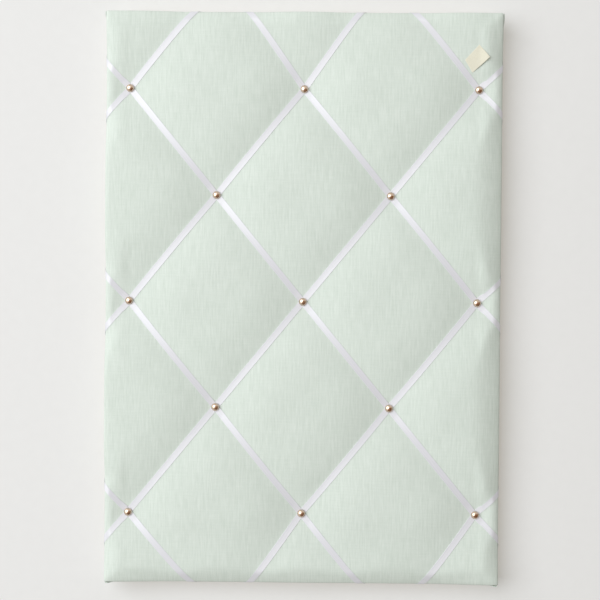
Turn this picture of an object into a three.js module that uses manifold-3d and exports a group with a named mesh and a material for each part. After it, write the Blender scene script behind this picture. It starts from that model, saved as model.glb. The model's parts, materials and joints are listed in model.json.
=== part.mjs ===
// French memo board: a softboard core under wadding and stretched linen, crossed by a lattice of
// narrow ribbons that a domed nail pins down at every crossing. It hangs on two D-ring hangers.
// Millimetres, +Z up, the linen face towards -Y. The origin is the middle of the backing card's
// outer face, which lies against the wall.

import * as THREE from 'three';
import { mergeVertices } from 'three/addons/utils/BufferGeometryUtils.js';
import Module from 'manifold-3d';

// Finished board, measured over the linen
const boardWidth = 450;
const boardHeight = 650;
const cornerRadius = 3;
const edgeSlopeWidth = 40; // along every edge the padding thins out over this width
const edgeSlopeDepth = 10.5; // and by this much
const edgeBend = 2; // rounding between the face and the side

// Layers and the room between them
const coreThickness = 8;
const sideWadding = 3;
const clothThickness = 0.7;
const hemWidth = 38;
const ribbonThickness = 0.5;
const cardThickness = 1.5;
const cardInset = 9; // from the board's edge to the backing card's edge
const clearance = 0.3;

// Quilted relief of the wadding, as heights over the core
const crownHeight = 14.5;
const channelDepth = 6.5; // drawn in by one ribbon, and twice that where two cross under a nail
const channelReach = 40; // how far beside a ribbon the pad is drawn in

// Ribbon lattice, set out from the edges to the outer nails
const nailInsetSide = 27;
const nailInsetTop = 87;
const nailInsetBottom = 80;
const nailSteps = 4; // half pitches across the board and down it
const ribbonWidth = 7;
const channelEase = 1; // channel floor beyond each edge of the ribbon
const ribbonTail = 12; // run of a ribbon on the back of the board

// Domed upholstery nail
const nailHeadWidth = 9;
const nailHeadRise = 3.4;
const nailHeadWall = 0.7;
const nailShankWidth = 1.6;
const nailLength = 11; // below the rim of the head
const nailPoint = 3;

// Cloth label beside the upper right ribbon
const labelWidth = 18;
const labelLength = 25;
const labelThickness = 0.6;
const labelFromNail = 29; // along the ribbon, from the corner nail to the label's middle
const labelFromRibbon = 3;

// D-ring hangers
const hangerFromSide = 75;
const hangerFromTop = 105;
const wireWidth = 2;
const ringHalfWidth = 8; // to the middle of the wire, as the next two
const ringCornerRadius = 2;
const ringLeg = 4;
const ringSplit = 0.4; // butt joint of the wire, hidden in the eye
const strapWidth = 10;
const strapThickness = 0.8;
const eyeClearance = 0.35;
const screwHeadWidth = 6;
const screwHeadRise = 1.8;
const screwShankWidth = 2.8;
const screwLength = 12;
const screwPoint = 3.5;
const screwFromRing = 1; // between the hanging ring and the screw head
const recessWidth = 0.9;
const recessSpan = 3.4;
const recessDepth = 1.1;

// Fineness of round forms
const cornerSteps = 2;
const slopeSteps = 3;
const nailSides = 12;
const domeSteps = 4;
const drillSides = 4;
const screwSides = 16;
const ringSteps = 36;
const wireSides = 8;
const arcSteps = 6;
const padLines = [0.2, 0.5, 0.8]; // grid lines over a pad, as shares of the way between two ribbons
const weld = 1e-4;
const overrun = 1; // how far a cutting body passes what it cuts
const lap = 0.1; // overlap of bodies that are joined end to end

// Stack of layers, outwards from the core
const clothOffset = clearance + clothThickness;
const ribbonOffset = clothOffset + clearance;
const crossingLift = ribbonThickness + clearance;
const upperRibbonTop = ribbonOffset + crossingLift + ribbonThickness;
const coreBackY = -(upperRibbonTop + clearance + cardThickness);
const coreFrontY = coreBackY - coreThickness;
const coreWidth = boardWidth - 2 * (sideWadding + clothOffset);
const coreHeight = boardHeight - 2 * (sideWadding + clothOffset);
const crownMargin = 0.5; // flat front of the uncut pad over its highest crown
const nailSeatHeight = crownHeight - 2 * channelDepth;
const slopeFrontY = coreFrontY - crownHeight - crownMargin;
const sideFrontY = slopeFrontY + edgeSlopeDepth + edgeBend; // start of the straight side
const foremostY = coreFrontY - crownHeight - upperRibbonTop - nailHeadRise - overrun;

// Lattice: ribbons lie on whole numbers of the two slanting coordinates p and q, where
// x = pitchX (p + q) and z = latticeZ + pitchZ (p - q), and the nails where both are whole.
const pitchX = (boardWidth - 2 * nailInsetSide) / nailSteps;
const pitchZ = (boardHeight - nailInsetTop - nailInsetBottom) / nailSteps;
const latticeZ = (nailInsetBottom - nailInsetTop) / 2;
const ribbonSpacing = 2 * pitchX * pitchZ / Math.hypot(pitchX, pitchZ);
const channelHalf = ribbonWidth / 2 + channelEase;
const channelHalfStep = channelHalf / ribbonSpacing;
const outerRibbon = nailSteps / 2;

const wasm = await Module();
wasm.setup();

const board = new THREE.Group();

const finishes = {
  softboard: new THREE.MeshStandardMaterial({ color: '#b79a74', roughness: 0.95 }),
  wadding: new THREE.MeshStandardMaterial({ color: '#f2f1ec', roughness: 1 }),
  linen: new THREE.MeshStandardMaterial({ color: '#d6e3d8', roughness: 0.9 }),
  ribbon: new THREE.MeshStandardMaterial({ color: '#ecebf1', roughness: 0.5 }),
  bronze: new THREE.MeshStandardMaterial({ color: '#b98a5a', roughness: 0.25, metalness: 1 }),
  card: new THREE.MeshStandardMaterial({ color: '#b08d63', roughness: 0.9 }),
  label: new THREE.MeshStandardMaterial({ color: '#e6e2cb', roughness: 0.85 }),
  steel: new THREE.MeshStandardMaterial({ color: '#c9c7bf', roughness: 0.35, metalness: 1 }),
};

// Closed three.js geometry to a solid that can be joined and cut
function solidOf(geometry) {
  geometry.deleteAttribute('normal');
  geometry.deleteAttribute('uv');
  const merged = mergeVertices(geometry, weld);
  const corners = merged.index.array;
  const triangles = [];
  for (let k = 0; k < corners.length; k += 3) {
    const [a, b, c] = corners.slice(k, k + 3);
    if (a !== b && b !== c && c !== a) triangles.push(a, b, c);
  }
  return new wasm.Manifold(new wasm.Mesh({
    numProp: 3,
    vertProperties: new Float32Array(merged.attributes.position.array),
    triVerts: new Uint32Array(triangles),
  }));
}

function addPiece(name, solid, finish) {
  const { vertProperties, triVerts } = solid.getMesh();
  const geometry = new THREE.BufferGeometry();
  geometry.setAttribute('position', new THREE.BufferAttribute(vertProperties, 3));
  geometry.setIndex(new THREE.BufferAttribute(triVerts, 1));
  geometry.computeVertexNormals();
  const piece = new THREE.Mesh(geometry, finish);
  piece.name = name;
  board.add(piece);
}

function joined(solids) {
  return solids.reduce((whole, solid) => whole.add(solid));
}

function indexedGeometry(points, corners) {
  const geometry = new THREE.BufferGeometry();
  geometry.setFromPoints(points);
  geometry.setIndex(corners);
  return geometry;
}

// Closed body through convex rings of one point count, from front to back. Each ring runs
// anticlockwise as seen from the front.
function loft(rings) {
  const count = rings[0].length;
  const last = (rings.length - 1) * count;
  const corners = [];
  for (let start = 0; start < last; start += count) {
    for (let k = 0; k < count; k++) {
      const here = start + k;
      const next = start + (k + 1) % count;
      corners.push(here, here + count, next, next, here + count, next + count);
    }
  }
  for (let k = 1; k + 1 < count; k++) {
    corners.push(0, k, k + 1, last, last + k + 1, last + k);
  }
  return solidOf(indexedGeometry(rings.flat(), corners));
}

// Straight body over a convex outline in the XZ plane. The drift slides its back end sideways.
function prism(outline, frontY, backY, drift = new THREE.Vector2()) {
  const middle = outline.reduce((sum, point) => sum.clone().add(point)).divideScalar(outline.length);
  const turnOf = (point) => point.clone().sub(middle).angle();
  const around = outline.toSorted((one, other) => turnOf(one) - turnOf(other));
  const frontRing = around.map((point) => new THREE.Vector3(point.x, frontY, point.y));
  const backRing = around.map((point) => new THREE.Vector3(point.x + drift.x, backY, point.y + drift.y));
  return loft([frontRing, backRing]);
}

function block(width, height, frontY, backY) {
  const geometry = new THREE.BoxGeometry(width, backY - frontY, height);
  return solidOf(geometry.translate(0, (frontY + backY) / 2, 0));
}

function drill(width, frontY, backY) {
  const radius = width / 2 / Math.cos(Math.PI / drillSides);
  const geometry = new THREE.CylinderGeometry(radius, radius, backY - frontY, drillSides);
  return solidOf(geometry.translate(0, (frontY + backY) / 2, 0));
}

function roundedRing(halfWidth, halfHeight, radius, y) {
  const ring = [];
  for (const [corner, [sideX, sideZ]] of [[1, 1], [-1, 1], [-1, -1], [1, -1]].entries()) {
    for (let step = 0; step <= cornerSteps; step++) {
      const angle = (corner + step / cornerSteps) * Math.PI / 2;
      const x = sideX * (halfWidth - radius) + radius * Math.cos(angle);
      const z = sideZ * (halfHeight - radius) + radius * Math.sin(angle);
      ring.push(new THREE.Vector3(x, y, z));
    }
  }
  return ring;
}

// Lattice coordinates to a point of the face
function latticePoint(p, q) {
  return new THREE.Vector2(pitchX * (p + q), latticeZ + pitchZ * (p - q));
}

// The crossings on the board, row by row from the top
const crossings = [];
for (let row = outerRibbon; row >= -outerRibbon; row--) {
  for (let column = -outerRibbon; column <= outerRibbon; column++) {
    if ((row + column) % 2 === 0) crossings.push([(column + row) / 2, (column - row) / 2]);
  }
}
const nailPoints = crossings.map(([p, q]) => latticePoint(p, q));

// Height of the pad: full between the ribbons, and drawn in to a rounded channel along each of them.
// The floor of a channel arches up from nail to nail.
function quiltHeight(p, q) {
  const fade = (step, reach) => {
    const beside = Math.abs(step - Math.round(step)) * ribbonSpacing - channelHalf;
    return Math.max(0, 1 - Math.max(0, beside - weld) / reach) ** 2;
  };
  const [channelP, channelQ] = [p, q].map((step) => fade(step, channelReach));
  const [archP, archQ] = [p, q].map((step) => fade(step, ribbonSpacing / 2 - channelHalf));
  const drawnIn = channelP * (1 + archQ - channelQ) + channelQ * (1 + archP - channelP);
  return crownHeight - channelDepth * drawnIn;
}

// Slanting grid lines: both edges of every channel floor, and the lines over each pad
const gridLines = [];
const gridReach = Math.ceil(outerRibbon + 1);
for (let ribbon = -gridReach; ribbon < gridReach; ribbon++) {
  for (const share of [channelHalfStep, ...padLines, 1 - channelHalfStep]) {
    gridLines.push(ribbon + share);
  }
}

function onCrossing(p, q) {
  const near = (step, whole) => Math.abs(step - whole) < channelHalfStep + weld;
  return crossings.some(([wholeP, wholeQ]) => near(p, wholeP) && near(q, wholeQ));
}

// Block with the quilted front, larger than the board. The lift raises it at the crossings.
function quiltBlock(offset, lift, backY) {
  const count = gridLines.length;
  const front = [];
  const back = [];
  for (const p of gridLines) {
    for (const q of gridLines) {
      const { x, y: z } = latticePoint(p, q);
      const height = quiltHeight(p, q) + offset + (onCrossing(p, q) ? lift : 0);
      front.push(new THREE.Vector3(x, coreFrontY - height, z));
      back.push(new THREE.Vector3(x, backY, z));
    }
  }
  const behind = front.length;
  const corners = [];
  const wall = (one, other) => {
    corners.push(one, one + behind, other, other, one + behind, other + behind);
  };
  for (let row = 0; row + 1 < count; row++) {
    for (let k = 0; k + 1 < count; k++) {
      const near = row * count + k;
      const far = near + count;
      corners.push(near, near + 1, far + 1, near, far + 1, far);
      corners.push(near + behind, far + 1 + behind, near + 1 + behind);
      corners.push(near + behind, far + behind, far + 1 + behind);
    }
    wall((row + 1) * count, row * count);
    wall(row * count + count - 1, (row + 1) * count + count - 1);
    wall(row, row + 1);
    wall((count - 1) * count + row + 1, (count - 1) * count + row);
  }
  return solidOf(indexedGeometry([...front, ...back], corners));
}

// Solid of everything up to a surface that lies offset outside the wadding
function paddedBody(offset, { backOffset = offset, lift = 0 } = {}) {
  const backY = coreBackY + backOffset;
  const halfWidth = coreWidth / 2 + sideWadding;
  const halfHeight = coreHeight / 2 + sideWadding;
  const radius = cornerRadius - clothOffset + offset;
  const rings = [];
  for (let step = slopeSteps; step >= 0; step--) {
    const share = step / slopeSteps;
    const inset = edgeBend + (edgeSlopeWidth - edgeBend) * share - offset;
    const y = slopeFrontY + edgeSlopeDepth * (1 - share) ** 2 - offset;
    rings.push(roundedRing(halfWidth - inset, halfHeight - inset, radius, y));
  }
  rings.push(roundedRing(halfWidth + offset, halfHeight + offset, radius, sideFrontY));
  rings.push(roundedRing(halfWidth + offset, halfHeight + offset, radius, backY));
  return loft(rings).intersect(quiltBlock(offset, lift, backY + overrun));
}

// Shank holes under the nail heads, down to just past the points
const nailRimY = coreFrontY - nailSeatHeight - upperRibbonTop - clearance;
const nailHoles = joined(nailPoints.map((nail) => {
  const hole = drill(nailShankWidth + 2 * clearance, foremostY, nailRimY + nailLength + clearance);
  return hole.translate(nail.x, 0, nail.y);
}));

// Hanger places and the screw holes behind them
const eyeRadius = wireWidth / 2 + eyeClearance;
const knuckleRadius = eyeRadius + strapThickness;
const pivotY = clearance + knuckleRadius;
const ringDrop = ringLeg + ringHalfWidth + wireWidth / 2;
const screwDrop = ringDrop + screwFromRing + screwHeadWidth / 2;
const pivotZ = boardHeight / 2 - hangerFromTop;
const hangerX = boardWidth / 2 - hangerFromSide;
const strapTopY = clearance + strapThickness;
const screwSeatY = strapTopY + clearance;
const hangers = [['left', -hangerX], ['right', hangerX]];
const screwHoles = joined(hangers.map(([, x]) => {
  const hole = drill(screwShankWidth + 2 * clearance, screwSeatY - screwLength - clearance, screwSeatY);
  return hole.translate(x, 0, pivotZ - screwDrop);
}));

function addCore() {
  const core = block(coreWidth, coreHeight, coreFrontY, coreBackY);
  addPiece('softboard_core', core.subtract(nailHoles).subtract(screwHoles), finishes.softboard);
}

function addWadding() {
  const bed = block(
    coreWidth + 2 * clearance, coreHeight + 2 * clearance, coreFrontY - clearance, coreBackY + overrun);
  addPiece('wadding', paddedBody(0).subtract(bed).subtract(nailHoles), finishes.wadding);
}

function addCover() {
  const shell = paddedBody(clothOffset).subtract(paddedBody(clearance));
  const windowWidth = boardWidth - 2 * hemWidth;
  const windowHeight = boardHeight - 2 * hemWidth;
  const window = block(windowWidth, windowHeight, coreBackY, coreBackY + clothOffset + overrun);
  addPiece('linen_cover', shell.subtract(window).subtract(nailHoles), finishes.linen);
}

// Where a ribbon's middle line leaves the face: the point on the finished edge, the way out, the
// way along the edge, how far the ribbon slips along for each step out, and half its slanted width
function ribbonEnd(start, heading) {
  const toSide = (Math.sign(heading.x) * boardWidth / 2 - start.x) / heading.x;
  const toTop = (Math.sign(heading.y) * boardHeight / 2 - start.y) / heading.y;
  const point = start.clone().addScaledVector(heading, Math.min(toSide, toTop));
  const halfLength = ribbonWidth / 2 * heading.length();
  if (toSide < toTop) {
    const normal = new THREE.Vector2(Math.sign(heading.x), 0);
    const run = Math.abs(heading.x);
    return { point, normal, along: new THREE.Vector2(0, 1), slip: heading.y / run, half: halfLength / run };
  }
  const normal = new THREE.Vector2(0, Math.sign(heading.y));
  const run = Math.abs(heading.y);
  return { point, normal, along: new THREE.Vector2(1, 0), slip: heading.x / run, half: halfLength / run };
}

// Both edges of a ribbon at a distance out from the finished edge, after a run past that edge
function ribbonEdges(end, out, run) {
  const middle = end.point.clone();
  middle.addScaledVector(end.normal, out);
  middle.addScaledVector(end.along, end.slip * run);
  return [-end.half, end.half].map((half) => middle.clone().addScaledVector(end.along, half));
}

// The band of space that a ribbon takes up: straight over the face, then slanting on down the
// side and round onto the back, as a flat strip does when it is folded over an edge
function ribbonBand(start, heading, backInner) {
  const ends = [ribbonEnd(start, heading), ribbonEnd(start, heading.clone().negate())];
  const outside = clearance + ribbonThickness + overrun;
  const skin = clearance + ribbonThickness / 2;
  const backSkin = backInner + ribbonThickness / 2;
  const sideRun = coreBackY + backSkin - sideFrontY;
  const strip = (out, backY) => prism(ends.flatMap((end) => ribbonEdges(end, out, out)), foremostY, backY);
  const face = strip(outside, sideFrontY).add(strip(-edgeSlopeWidth / 2, coreFrontY));
  const wraps = ends.flatMap((end) => {
    const sideOutline = [0, outside].flatMap((out) => ribbonEdges(end, out, out - lap / 2));
    const drift = end.along.clone().multiplyScalar(end.slip * (sideRun + lap));
    const side = prism(sideOutline, sideFrontY - lap, coreBackY + backSkin, drift);
    const backRun = (out) => sideRun + 2 * skin - out;
    const backOutline = [-ribbonTail, outside].flatMap((out) => ribbonEdges(end, out, backRun(out)));
    return [side, prism(backOutline, coreBackY + backInner - lap, coreBackY + backSkin + overrun)];
  });
  return joined([face, ...wraps]);
}

// The rising ribbons lie on the linen. The falling ones cross over them, on the face and behind.
function addRibbons() {
  const lowerBack = ribbonOffset;
  const upperBack = ribbonOffset + crossingLift;
  const layer = (backOffset, lift) => {
    const topBack = backOffset + ribbonThickness;
    const top = paddedBody(ribbonOffset + ribbonThickness, { backOffset: topBack, lift });
    return top.subtract(paddedBody(ribbonOffset, { backOffset, lift }));
  };
  const lowerLayer = layer(lowerBack, 0);
  const upperLayer = layer(upperBack, crossingLift);
  for (let whole = -outerRibbon; whole <= outerRibbon; whole++) {
    const number = whole + outerRibbon + 1;
    const rising = new THREE.Vector2(pitchX, pitchZ);
    const risingBand = ribbonBand(latticePoint(0, whole), rising, lowerBack);
    const lower = lowerLayer.intersect(risingBand).subtract(nailHoles);
    addPiece(`ribbon_rising_${number}`, lower, finishes.ribbon);
    const falling = new THREE.Vector2(pitchX, -pitchZ);
    const fallingBand = ribbonBand(latticePoint(whole, 0), falling, upperBack);
    const upper = upperLayer.intersect(fallingBand).subtract(nailHoles);
    addPiece(`ribbon_falling_${number}`, upper, finishes.ribbon);
  }
}

// Hollow domed cap on a pointed shank, turned about its own axis
function addNails() {
  const radius = nailHeadWidth / 2;
  const shankRadius = nailShankWidth / 2;
  const innerRadius = radius - nailHeadWall;
  const innerRise = nailHeadRise - nailHeadWall;
  const innerTurn = Math.asin(shankRadius / innerRadius);
  const profile = [];
  for (let step = 0; step <= domeSteps; step++) {
    const turn = step / domeSteps * Math.PI / 2;
    profile.push(new THREE.Vector2(radius * Math.sin(turn), -nailHeadRise * Math.cos(turn)));
  }
  for (let step = domeSteps; step >= 0; step -= 2) {
    const turn = innerTurn + step / domeSteps * (Math.PI / 2 - innerTurn);
    profile.push(new THREE.Vector2(innerRadius * Math.sin(turn), -innerRise * Math.cos(turn)));
  }
  profile.push(new THREE.Vector2(shankRadius, nailLength - nailPoint));
  profile.push(new THREE.Vector2(0, nailLength));
  profile[0].x = 0;
  const nail = solidOf(new THREE.LatheGeometry(profile, nailSides));
  nailPoints.forEach((point, k) => {
    addPiece(`nail_${k + 1}`, nail.translate(point.x, nailRimY, point.y), finishes.bronze);
  });
}

// Label: a patch of cloth that follows the linen, sewn down near the edge of the last falling ribbon
function addLabel() {
  const cornerNail = latticePoint(outerRibbon, 0);
  const upRibbon = new THREE.Vector2(-pitchX, pitchZ).normalize();
  const outwards = new THREE.Vector2(pitchZ, pitchX).normalize();
  const root = cornerNail.clone().addScaledVector(upRibbon, labelFromNail);
  root.addScaledVector(outwards, ribbonWidth / 2 + labelFromRibbon);
  const outline = [];
  for (const half of [-labelWidth / 2, labelWidth / 2]) {
    const corner = root.clone().addScaledVector(upRibbon, half);
    outline.push(corner, corner.clone().addScaledVector(outwards, labelLength));
  }
  const layer = paddedBody(ribbonOffset + labelThickness).subtract(paddedBody(ribbonOffset));
  addPiece('woven_label', layer.intersect(prism(outline, foremostY, coreFrontY)), finishes.label);
}

// Backing card in one plain stretch below the hangers and one drilled stretch behind them
function addCard() {
  const width = boardWidth - 2 * cardInset;
  const halfHeight = boardHeight / 2 - cardInset;
  const hangerLine = pivotZ - screwDrop - strapWidth;
  const stretch = (lowZ, highZ) => {
    const panel = block(width, highZ - lowZ, -cardThickness, 0);
    return panel.translate(0, 0, (lowZ + highZ) / 2);
  };
  const card = stretch(-halfHeight, hangerLine).add(stretch(hangerLine - lap, halfHeight));
  addPiece('backing_card', card.subtract(screwHoles), finishes.card);
}

// Strap folded round the ring's bar: a P-shaped section, extruded, then rounded off and drilled
function strapSolid() {
  const strapEnd = screwDrop + strapWidth / 2;
  const neck = Math.sqrt(knuckleRadius ** 2 - eyeRadius ** 2);
  const section = new THREE.Shape();
  section.moveTo(0, clearance);
  section.lineTo(strapEnd, clearance);
  section.lineTo(strapEnd, strapTopY);
  section.lineTo(neck, strapTopY);
  section.absarc(0, pivotY, knuckleRadius, Math.atan2(-eyeRadius, neck), 1.5 * Math.PI, false);
  const eye = new THREE.Path();
  eye.absarc(0, pivotY, eyeRadius, 0, 2 * Math.PI, true);
  section.holes.push(eye);
  const folded = new THREE.ExtrudeGeometry(
    section, { depth: strapWidth, bevelEnabled: false, curveSegments: arcSteps });
  folded.translate(0, 0, -strapWidth / 2).rotateY(Math.PI / 2);
  const plan = new THREE.Shape();
  plan.moveTo(strapWidth / 2 + overrun, knuckleRadius + overrun);
  plan.lineTo(-strapWidth / 2 - overrun, knuckleRadius + overrun);
  plan.lineTo(-strapWidth / 2 - overrun, -screwDrop);
  plan.lineTo(-strapWidth / 2, -screwDrop);
  plan.absarc(0, -screwDrop, strapWidth / 2, Math.PI, 2 * Math.PI, false);
  plan.lineTo(strapWidth / 2 + overrun, -screwDrop);
  const depth = pivotY + knuckleRadius + overrun;
  const outline = new THREE.ExtrudeGeometry(
    plan, { depth, bevelEnabled: false, curveSegments: arcSteps });
  outline.rotateX(Math.PI / 2).translate(0, depth, 0);
  return solidOf(folded).intersect(solidOf(outline));
}

// Middle line of the D-ring's wire, from one side of its split round to the other
class RingLine extends THREE.Curve {
  constructor() {
    super();
    const straight = ringHalfWidth - ringCornerRadius;
    this.outline = new THREE.Path();
    this.outline.moveTo(ringSplit / 2, 0);
    this.outline.lineTo(straight, 0);
    this.outline.absarc(straight, -ringCornerRadius, ringCornerRadius, Math.PI / 2, 0, true);
    this.outline.lineTo(ringHalfWidth, -ringLeg);
    this.outline.absarc(0, -ringLeg, ringHalfWidth, 0, -Math.PI, true);
    this.outline.lineTo(-ringHalfWidth, -ringCornerRadius);
    this.outline.absarc(-straight, -ringCornerRadius, ringCornerRadius, Math.PI, Math.PI / 2, true);
    this.outline.lineTo(-ringSplit / 2, 0);
  }

  getPoint(share, target = new THREE.Vector3()) {
    const point = this.outline.getPoint(share);
    return target.set(point.x, 0, point.y);
  }
}

function ringSolid() {
  const wire = new THREE.Shape();
  for (let k = 0; k < wireSides; k++) {
    const angle = (k + 0.5) / wireSides * 2 * Math.PI;
    const point = new THREE.Vector2(Math.cos(angle), Math.sin(angle)).multiplyScalar(wireWidth / 2);
    if (k === 0) wire.moveTo(point.x, point.y);
    else wire.lineTo(point.x, point.y);
  }
  wire.closePath();
  return solidOf(new THREE.ExtrudeGeometry(
    wire, { steps: ringSteps, extrudePath: new RingLine(), bevelEnabled: false }));
}

// Pan-head wood screw with a cross recess
function screwSolid() {
  const headRadius = screwHeadWidth / 2;
  const shankRadius = screwShankWidth / 2;
  const profile = [
    new THREE.Vector2(0, -screwLength),
    new THREE.Vector2(shankRadius, screwPoint - screwLength),
    new THREE.Vector2(shankRadius, 0),
    new THREE.Vector2(headRadius, 0),
  ];
  for (let step = 1; step <= domeSteps; step++) {
    const turn = step / domeSteps * Math.PI / 2;
    profile.push(new THREE.Vector2(headRadius * Math.cos(turn), screwHeadRise * Math.sin(turn)));
  }
  profile.at(-1).x = 0;
  const bar = (width, height) => block(width, height, screwHeadRise - recessDepth, screwHeadRise + overrun);
  const recess = bar(recessWidth, recessSpan).add(bar(recessSpan, recessWidth));
  return solidOf(new THREE.LatheGeometry(profile, screwSides)).subtract(recess);
}

function addHangers() {
  const strap = strapSolid();
  const ring = ringSolid();
  const screw = screwSolid();
  for (const [side, x] of hangers) {
    const place = strap.translate(x, 0, pivotZ);
    addPiece(`hanger_strap_${side}`, place.subtract(screwHoles), finishes.steel);
    addPiece(`hanger_ring_${side}`, ring.translate(x, pivotY, pivotZ), finishes.steel);
    addPiece(`hanger_screw_${side}`, screw.translate(x, screwSeatY, pivotZ - screwDrop), finishes.steel);
  }
}

addCore();
addWadding();
addCover();
addRibbons();
addNails();
addLabel();
addCard();
addHangers();

export default board;
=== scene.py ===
# French memo board: padded mint linen under a lattice of satin ribbons, pinned down by domed nails.
# Metres, in the part's own frame: X to the right, Z up, the linen face towards -Y.
import json
import math

import bmesh
import bpy
import numpy as np
from mathutils import Matrix, Vector


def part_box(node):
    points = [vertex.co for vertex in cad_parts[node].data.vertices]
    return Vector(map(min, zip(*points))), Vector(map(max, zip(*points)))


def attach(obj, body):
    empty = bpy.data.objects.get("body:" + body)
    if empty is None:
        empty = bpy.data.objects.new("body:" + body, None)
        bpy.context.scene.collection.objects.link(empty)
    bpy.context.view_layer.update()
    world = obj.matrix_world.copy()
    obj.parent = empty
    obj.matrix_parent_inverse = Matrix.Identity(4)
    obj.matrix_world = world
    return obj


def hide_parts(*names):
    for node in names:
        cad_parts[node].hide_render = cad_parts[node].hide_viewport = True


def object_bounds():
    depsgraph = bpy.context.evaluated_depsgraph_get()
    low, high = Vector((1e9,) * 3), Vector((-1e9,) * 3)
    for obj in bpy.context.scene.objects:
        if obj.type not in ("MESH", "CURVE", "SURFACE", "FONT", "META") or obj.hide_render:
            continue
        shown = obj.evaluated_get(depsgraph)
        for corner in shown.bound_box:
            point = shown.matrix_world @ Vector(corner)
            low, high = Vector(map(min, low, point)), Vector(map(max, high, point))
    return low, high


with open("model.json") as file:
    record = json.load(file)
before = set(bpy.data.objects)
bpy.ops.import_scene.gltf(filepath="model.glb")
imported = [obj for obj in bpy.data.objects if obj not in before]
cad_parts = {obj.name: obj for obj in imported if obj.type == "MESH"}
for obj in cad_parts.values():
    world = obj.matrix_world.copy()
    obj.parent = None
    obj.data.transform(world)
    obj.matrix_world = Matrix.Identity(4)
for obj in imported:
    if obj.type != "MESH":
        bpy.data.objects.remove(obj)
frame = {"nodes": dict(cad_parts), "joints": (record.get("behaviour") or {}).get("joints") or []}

cad_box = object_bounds()
MM = 0.001

# Layers, as heights over the wadding
CLEARANCE = 0.3 * MM
CLOTH = 0.7 * MM
RIBBON = 0.35 * MM
RIBBON_GAP = 0.1 * MM
CLOTH_TOP = CLEARANCE + CLOTH
RIBBON_FOOT = CLOTH_TOP + RIBBON_GAP
CROSSING_LIFT = RIBBON + RIBBON_GAP

# Quilted relief of the wadding, as heights over the core and distances from a ribbon's middle line
CROWN = 14.5 * MM
CHANNEL_DEPTH = 6.5 * MM
CHANNEL_FLOOR = 4 * MM
CHANNEL_EASE = 1.5 * MM
CHANNEL_REACH = 54 * MM
END_SAG = 2 * MM  # the pads beyond the top and bottom rows of nails are a little flatter
END_SAG_REACH = 40 * MM

# Edge: the padding thins out towards it, and the linen bends round to the side and the turned-in hem
SLOPE_WIDTH = 40 * MM
SLOPE_DEPTH = 10.5 * MM
SLOPE_TOP = CROWN + 0.5 * MM
SLOPE_EASE = 1.5 * MM
EDGE_FULLNESS = 8.2 * MM  # the padding is laid thicker along the left and top edges
EDGE_PULL = 2 * MM  # and the ribbons draw the other two edges in
FULLNESS_FADE = 0.3  # of the board's half size, to the other two edges
CORNER_FULLNESS = 0.7  # of the thicker padding, in every corner
CORNER_START = 1.7  # sum of the two shares of the half size where a corner begins
EDGE_BEND = 2.5 * MM
BACK_BEND = 1.2 * MM
CORNER_RADIUS = 2 * MM
CORNER_FADE = 20 * MM
CORNER_LEAST = 1e-6  # share of the radius, so that it is never nothing
HEM = 38 * MM

# Ribbons
RIBBON_WIDTH = 7 * MM
RIBBON_TAIL = 12 * MM
# Share of its slope that a ribbon loses beyond the outer nails, on the left and right side, below and
# above each nail
TAIL_TURN = np.array([[0.13, 0.18], [0.2, 0.3]])
TAIL_EASE = 8 * MM
FALLING, RISING = 0, 1
# Share of its sideways way that a ribbon's end keeps over the bottom and the top edge, by nail from the left
END_LEAN = np.array([[[1.08, 1, 1], [1, 0.86, 1]], [[1, 0.87, 0.9], [1, 0.87, 1]]])
CROSSING_HALF = 4.5 * MM
CROSSING_RAMP = 9 * MM

# Fineness of the meshes
FACE_STEP = 3 * MM
PAD_STEP = 6 * MM
RIBBON_STEP = 1.2 * MM
SLOPE_STEPS = 18
BEND_STEPS = 6
EDGE_STEPS = SLOPE_STEPS + BEND_STEPS
SIDE_STEPS = 3
HEM_LINES = np.array([0.25, 1])  # shares of the hem's width
LINEN_EDGE_EVERY = 2  # steps of the edge from one line of the linen's grid to the next
PAD_EDGE_EVERY = 6  # and of the pad's grid
JOIN_WITHIN = 1e-6  # points closer than this are one
HARD_EDGE = 50  # degrees between faces whose shared edge looks sharp

# Places read from the frame
cover_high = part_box("linen_cover")[1]
core_low, core_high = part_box("softboard_core")
CORE_FRONT = core_low.y
CORE_BACK = core_high.y
HALF_WIDTH = cover_high.x - CLOTH_TOP
HALF_HEIGHT = cover_high.z - CLOTH_TOP
FACE_HALF_WIDTH = HALF_WIDTH - SLOPE_WIDTH
FACE_HALF_HEIGHT = HALF_HEIGHT - SLOPE_WIDTH
FACE_HALF = np.array([FACE_HALF_WIDTH, FACE_HALF_HEIGHT])


def middle(node):
    """Middle of the box round a solid."""
    low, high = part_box(node)
    return (low + high) / 2


NAIL_COUNT = sum(name.startswith("nail_") for name in frame["nodes"])
TOP_MIDDLE_NAIL = middle("nail_2")
SECOND_ROW_NAIL = middle("nail_5")
CENTRE_NAIL = middle("nail_7")
LABEL_NAIL = middle("nail_3")
PITCH_X = SECOND_ROW_NAIL.x - TOP_MIDDLE_NAIL.x
PITCH_Z = TOP_MIDDLE_NAIL.z - SECOND_ROW_NAIL.z
LATTICE_Z = CENTRE_NAIL.z
LATTICE_STEP = math.hypot(PITCH_X, PITCH_Z)
RIBBON_SPACING = 2 * PITCH_X * PITCH_Z / LATTICE_STEP
OUTER_RIBBON = 2
OUTER_NAIL = LABEL_NAIL.x


# Materials

CLOTH_MAP = "cloth"


def linear(code):
    """An sRGB hex colour as linear RGBA."""
    shares = [int(code[k:k + 2], 16) / 255 for k in (1, 3, 5)]
    return [c / 12.92 if c <= 0.04045 else ((c + 0.055) / 1.055) ** 2.4 for c in shares] + [1.0]


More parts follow.
